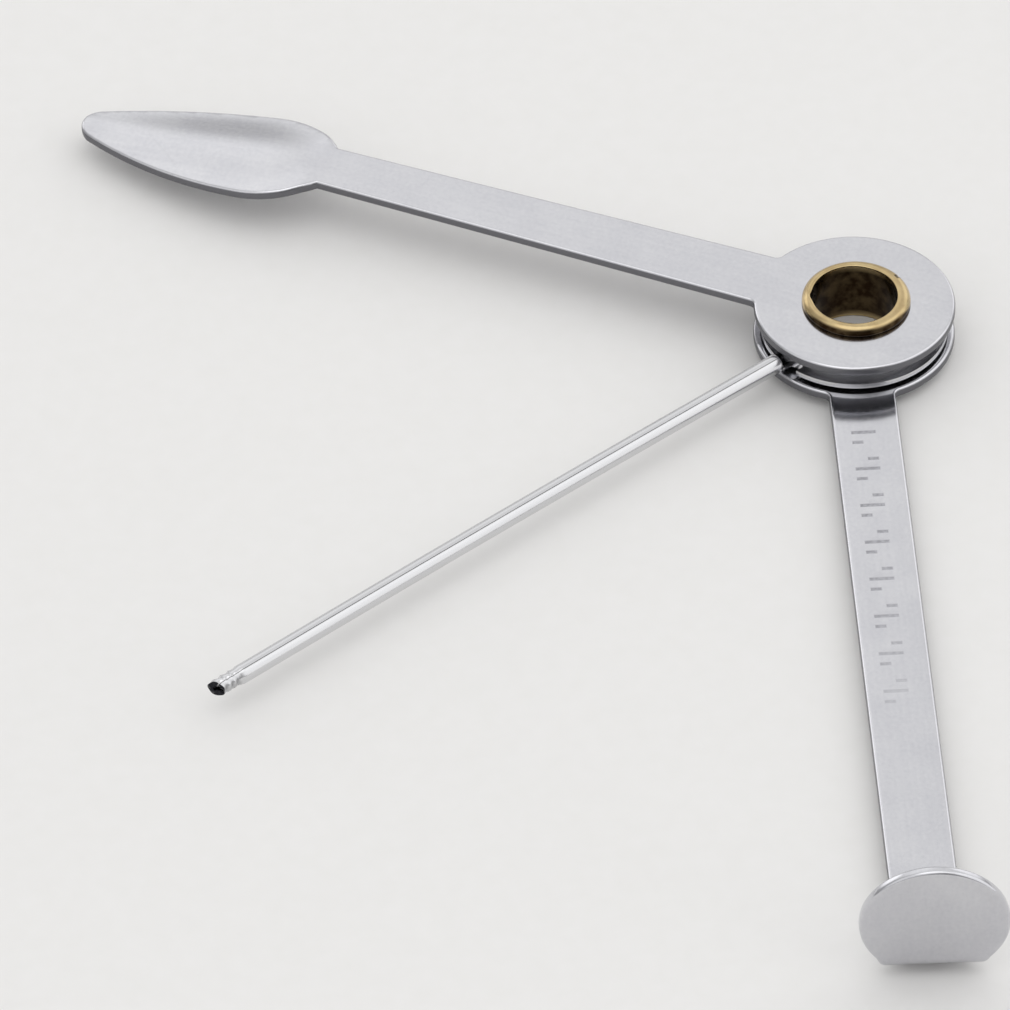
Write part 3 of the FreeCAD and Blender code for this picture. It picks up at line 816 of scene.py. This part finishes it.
# The setting punch left the lip a little uneven round the hole.
for vertex in eyelet.verts:
    turn = math.atan2(vertex.co.y, vertex.co.x)
    wobble = math.sin(3 * turn + 0.6) + 0.6 * math.sin(7 * turn + 2.1)
    lifted = ease((abs(vertex.co.z) - lip_end) / (eyelet_high.z - lip_end))
    spread = ease((vertex.co.xy.length - bore_radius) / lip_radius)
    vertex.co.z -= math.copysign(lip_wave * lifted * (1 + 0.6 * wobble), vertex.co.z)
    vertex.co += lip_shift * spread
    kink = kink_depth * math.exp(-((turn - kink_turn) / kink_width) ** 2) * lifted
    vertex.co.xy += vertex.co.xy.normalized() * kink * (1 - spread)
bmesh.ops.solidify(eyelet, geom=eyelet.faces[:], thickness=eyelet_wall)
round_edges(eyelet, lip_rounding, 2)

# Painted shade, in dark brown: in the bore, in the crack, under the lip, and low on the lip's outer wall,
# where it reaches nearly to the crest on the tamper arm's side, the side that faces the camera.
brown_shade = eyelet.verts.layers.float.new("brown_shade")
for vertex in eyelet.verts:
    height = abs(vertex.co.z)
    centred = vertex.co.xy - lip_shift.xy
    turn = math.atan2(centred.y, centred.x)
    outwards = centred.length - lip_centre[0]
    upwards = height - lip_centre[1]
    side = ease((math.cos(turn) - 0.1) / 0.6)
    limit = brown_lowest + brown_rise * side
    on_wall = ease((limit - math.atan2(upwards, max(outwards, 0))) / brown_fade) * (outwards > 0)
    in_lip = 1 - ease((math.hypot(outwards, upwards) - lip_radius + 0.3 * MM) / (0.15 * MM))
    in_bore = (1 - ease((height - spoon_top - 0.3 * MM) / (0.2 * MM))) * (outwards < 0)
    off_crack = abs(turn - crack_turn) * centred.length
    by_crack = (1 - ease((off_crack - crack_gape) / (0.08 * MM))) * (outwards > 0.15 * MM)
    vertex[brown_shade] = max(on_wall, in_lip, in_bore, by_crack * (vertex.co.z > 0))
add_piece(eyelet, "rolled_eyelet", "tamper", "brass_eyelet", brass_with_brown_shade())

# ---- Floor and backdrop ----
# A sheet of pale matte paper under the tool, large enough to fill the view from every side.


def matte_paper():
    """Plain pale paper with a faint tooth, lit softly."""
    material, tree = new_material("matte_paper")
    place = add_node(tree, "TexCoord").outputs["Object"]
    tooth = add_node(tree, "TexNoise", {"Vector": place, "Scale": 1 / (1.5 * MM), "Detail": 4.0})
    base = add_node(
        tree, "Mix",
        {0: tooth.outputs[0], 6: colour("#E4E3E1"), 7: colour("#E8E7E6")}, data_type="RGBA",
    )
    shader = add_node(tree, "BsdfPrincipled", {"Base Color": base.outputs[2], "Roughness": 0.9})
    add_node(tree, "OutputMaterial", {"Surface": shader.outputs["BSDF"]})
    return material


ground = bmesh.new()
bmesh.ops.create_grid(ground, x_segments=1, y_segments=1, size=3)
bmesh.ops.translate(ground, verts=ground.verts[:], vec=(0, 0, cad_low.z))
ground_data = bpy.data.meshes.new("paper_floor")
ground.to_mesh(ground_data)
ground.free()
ground_data.materials.append(matte_paper())
floor = bpy.data.objects.new("paper_floor", ground_data)
bpy.context.scene.collection.objects.link(floor)

# ---- Light ----
# A white tent: an even room, brighter behind, to the right and overhead, with soft edges between, and a
# softbox above that gives the contact shadows. Its glare is left to the tent.

world = bpy.data.worlds.new("white_tent")
bpy.context.scene.world = world
world.use_nodes = True
tent = world.node_tree
tent.nodes.clear()
sight = add_node(tent, "TexCoord").outputs["Generated"]
sight = add_node(tent, "VectorMath", {0: sight}, operation="NORMALIZE").outputs[0]
glow = 0.36
for bearing, height, outer, inner, strength in (
    (180, 45, 95, 40, 0.20), (176.5, 60, 46, 20, 0.33), (80, 30, 48, 24, 0.78),
    (145, 20, 22, 6, 0.70), (-138, 16, 18, 6, 0.80), (-155, 30, 34, 12, 0.25), (-45, 38, 46, 18, 0.55),
    (176, 0, 12, 4, 0.40), (-4, 78, 30, 12, 0.85),
):
    around, above = math.radians(bearing), math.radians(height)
    towards = (math.cos(around) * math.cos(above), math.sin(around) * math.cos(above), math.sin(above))
    facing = add_node(tent, "VectorMath", {0: sight, 1: towards}, operation="DOT_PRODUCT")
    share = add_node(
        tent, "MapRange",
        {
            "Value": facing.outputs["Value"], "From Min": math.cos(math.radians(outer)),
            "From Max": math.cos(math.radians(inner)), "To Max": strength,
        },
        interpolation_type="SMOOTHSTEP",
    )
    glow = add_node(tent, "Math", {0: glow, 1: share.outputs["Result"]}).outputs[0]
room = add_node(tent, "Background", {"Color": colour("#FFFFFF"), "Strength": glow})
add_node(tent, "OutputWorld", {"Surface": room.outputs["Background"]})

light = bpy.data.lights.new("top_softbox", "AREA")
light.size = 0.5
light.energy = 0.2
lamp = bpy.data.objects.new("top_softbox", light)
bpy.context.scene.collection.objects.link(lamp)
lamp.location = (-0.25, 0.1, 0.8)
lamp.rotation_euler = lamp.location.to_track_quat("Z", "Y").to_euler()
lamp.visible_glossy = False

# ---- Camera ----
# A long lens, 42 degrees up, that looks from the tamper arm's foot towards the hub.

aim = Vector((8.49, -26.60, -9.30)) * MM
distance = 972.75 * MM
turn, lift, tip = math.radians(86.5622), math.radians(42.4014), math.radians(-0.3409)
back = Vector((math.sin(turn) * math.cos(lift), -math.cos(turn) * math.cos(lift), math.sin(lift)))
level_right = Vector((math.cos(turn), math.sin(turn), 0))
level_up = back.cross(level_right)
right = level_right * math.cos(tip) + level_up * math.sin(tip)
up = back.cross(right)
lens = bpy.data.cameras.new("long_lens")
lens.sensor_width = 36
lens.lens = 466.98
camera = bpy.data.objects.new("long_lens", lens)
bpy.context.scene.collection.objects.link(camera)
turned = Matrix((right, up, back)).transposed().to_4x4()
camera.matrix_world = Matrix.Translation(aim + back * distance) @ turned
bpy.context.scene.camera = camera
bpy.context.scene.view_settings.view_transform = "Standard"
